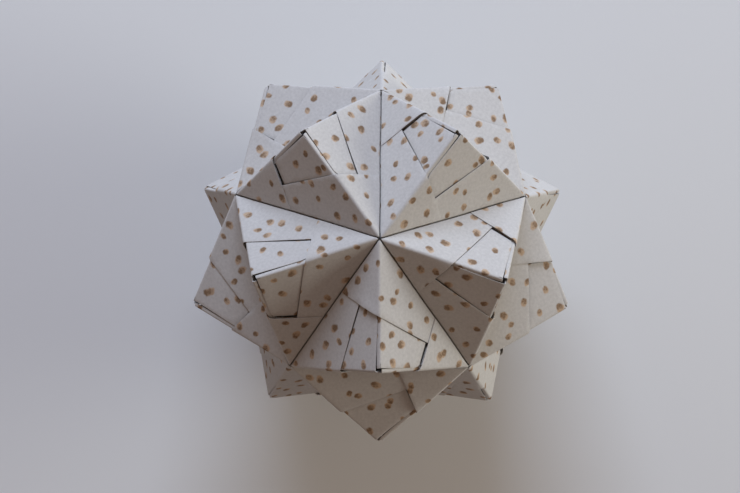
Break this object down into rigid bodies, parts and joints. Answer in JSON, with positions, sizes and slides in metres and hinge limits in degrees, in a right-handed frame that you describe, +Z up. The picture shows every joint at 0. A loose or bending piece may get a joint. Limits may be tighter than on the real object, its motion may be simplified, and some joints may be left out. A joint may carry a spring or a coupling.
{
  "type": "kusudama paper ball",
  "caption": "Decorative ball of folded paper units that lock tab into pocket, with three-sided points all round and five-way corners between them.",
  "frame": {"origin": "centre of the base of the bounding box, under the lowest five-way corner", "axes": "+Z up through the top five-way corner; +Y towards the upper ring's first corner, which is the picture's top; +X to the picture's right"},
  "size_m": [0.1634, 0.1714, 0.1447],
  "materials": {
    "dotted_paper": "matte beige craft paper with brown dots"
  },
  "bodies": {
    "root": {"unit_top_1": "dotted_paper", "unit_top_2": "dotted_paper", "unit_top_3": "dotted_paper", "unit_top_4": "dotted_paper", "unit_top_5": "dotted_paper", "unit_upper_1": "dotted_paper", "unit_upper_2": "dotted_paper", "unit_upper_3": "dotted_paper", "unit_upper_4": "dotted_paper", "unit_upper_5": "dotted_paper", "unit_waist_1": "dotted_paper", "unit_waist_2": "dotted_paper", "unit_waist_3": "dotted_paper", "unit_waist_4": "dotted_paper", "unit_waist_5": "dotted_paper", "unit_waist_6": "dotted_paper", "unit_waist_7": "dotted_paper", "unit_waist_8": "dotted_paper", "unit_waist_9": "dotted_paper", "unit_waist_10": "dotted_paper", "unit_lower_1": "dotted_paper", "unit_lower_2": "dotted_paper", "unit_lower_3": "dotted_paper", "unit_lower_4": "dotted_paper", "unit_lower_5": "dotted_paper", "unit_bottom_1": "dotted_paper", "unit_bottom_2": "dotted_paper", "unit_bottom_3": "dotted_paper", "unit_bottom_4": "dotted_paper", "unit_bottom_5": "dotted_paper"}
  },
  "joints": []
}
